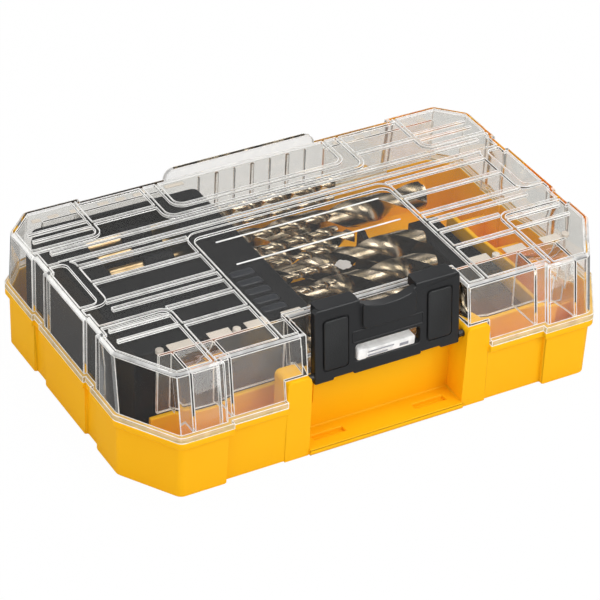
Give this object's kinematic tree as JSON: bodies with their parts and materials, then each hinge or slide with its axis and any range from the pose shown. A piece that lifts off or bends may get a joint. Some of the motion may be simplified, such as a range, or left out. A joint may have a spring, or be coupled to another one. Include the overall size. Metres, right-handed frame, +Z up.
{
  "type": "drill bit case",
  "caption": "Drill bit case: a moulded tray with a clear hinged lid, a front latch and a black rack that holds twist drills lying side by side.",
  "frame": {"origin": "on the face that the tray stands on, under the middle of the case", "axes": "+X along the width of the case, +Y from the latch to the hinge, +Z up"},
  "size_m": [0.2306, 0.1479, 0.0666],
  "materials": {
    "yellow_plastic": "fine matt moulded yellow",
    "clear_plastic": "clear polycarbonate",
    "black_plastic": "satin black moulded",
    "rack_plastic": "satin blue-black moulded",
    "steel_pin": "plain steel",
    "drill_steel": "bronze-coloured ground steel"
  },
  "bodies": {
    "tray_body": {"tray": "yellow_plastic", "bit_rack": "rack_plastic", "bit_rest": "rack_plastic", "hinge_pin_left": "steel_pin", "hinge_pin_right": "steel_pin"},
    "lid_body": {"lid": "clear_plastic"},
    "latch_body": {"latch": "black_plastic"},
    "drill_upper_1_body": {"drill_upper_1": "drill_steel"},
    "drill_upper_2_body": {"drill_upper_2": "drill_steel"},
    "drill_upper_3_body": {"drill_upper_3": "drill_steel"},
    "drill_upper_4_body": {"drill_upper_4": "drill_steel"},
    "drill_upper_5_body": {"drill_upper_5": "drill_steel"},
    "drill_upper_6_body": {"drill_upper_6": "drill_steel"},
    "drill_upper_7_body": {"drill_upper_7": "drill_steel"},
    "drill_upper_8_body": {"drill_upper_8": "drill_steel"},
    "drill_lower_1_body": {"drill_lower_1": "drill_steel"},
    "drill_lower_2_body": {"drill_lower_2": "drill_steel"},
    "drill_lower_3_body": {"drill_lower_3": "drill_steel"},
    "drill_lower_4_body": {"drill_lower_4": "drill_steel"},
    "drill_lower_5_body": {"drill_lower_5": "drill_steel"},
    "drill_lower_6_body": {"drill_lower_6": "drill_steel"}
  },
  "joints": [
    {"name": "lid_hinge", "type": "hinge", "parent": "tray_body", "child": "lid_body", "pos_m": [0, 0.0726, 0.0294], "axis": [-1, 0, 0], "range_deg": [0, 110]},
    {"name": "latch_pivot", "type": "hinge", "parent": "tray_body", "child": "latch_body", "pos_m": [0, -0.0646, 0.036], "axis": [1, 0, 0], "range_deg": [0, 100]},
    {"name": "drill_upper_1_slide", "type": "slide", "parent": "tray_body", "child": "drill_upper_1_body", "axis": [1, 0, 0], "range_m": [0, 0.015]},
    {"name": "drill_upper_2_slide", "type": "slide", "parent": "tray_body", "child": "drill_upper_2_body", "axis": [1, 0, 0], "range_m": [0, 0.015]},
    {"name": "drill_upper_3_slide", "type": "slide", "parent": "tray_body", "child": "drill_upper_3_body", "axis": [1, 0, 0], "range_m": [0, 0.015]},
    {"name": "drill_upper_4_slide", "type": "slide", "parent": "tray_body", "child": "drill_upper_4_body", "axis": [1, 0, 0], "range_m": [0, 0.015]},
    {"name": "drill_upper_5_slide", "type": "slide", "parent": "tray_body", "child": "drill_upper_5_body", "axis": [1, 0, 0], "range_m": [0, 0.015]},
    {"name": "drill_upper_6_slide", "type": "slide", "parent": "tray_body", "child": "drill_upper_6_body", "axis": [1, 0, 0], "range_m": [0, 0.015]},
    {"name": "drill_upper_7_slide", "type": "slide", "parent": "tray_body", "child": "drill_upper_7_body", "axis": [1, 0, 0], "range_m": [0, 0.015]},
    {"name": "drill_upper_8_slide", "type": "slide", "parent": "tray_body", "child": "drill_upper_8_body", "axis": [1, 0, 0], "range_m": [0, 0.015]},
    {"name": "drill_lower_1_slide", "type": "slide", "parent": "tray_body", "child": "drill_lower_1_body", "axis": [1, 0, 0], "range_m": [0, 0.015]},
    {"name": "drill_lower_2_slide", "type": "slide", "parent": "tray_body", "child": "drill_lower_2_body", "axis": [1, 0, 0], "range_m": [0, 0.015]},
    {"name": "drill_lower_3_slide", "type": "slide", "parent": "tray_body", "child": "drill_lower_3_body", "axis": [1, 0, 0], "range_m": [0, 0.015]},
    {"name": "drill_lower_4_slide", "type": "slide", "parent": "tray_body", "child": "drill_lower_4_body", "axis": [1, 0, 0], "range_m": [0, 0.015]},
    {"name": "drill_lower_5_slide", "type": "slide", "parent": "tray_body", "child": "drill_lower_5_body", "axis": [1, 0, 0], "range_m": [0, 0.015]},
    {"name": "drill_lower_6_slide", "type": "slide", "parent": "tray_body", "child": "drill_lower_6_body", "axis": [1, 0, 0], "range_m": [0, 0.015]}
  ]
}
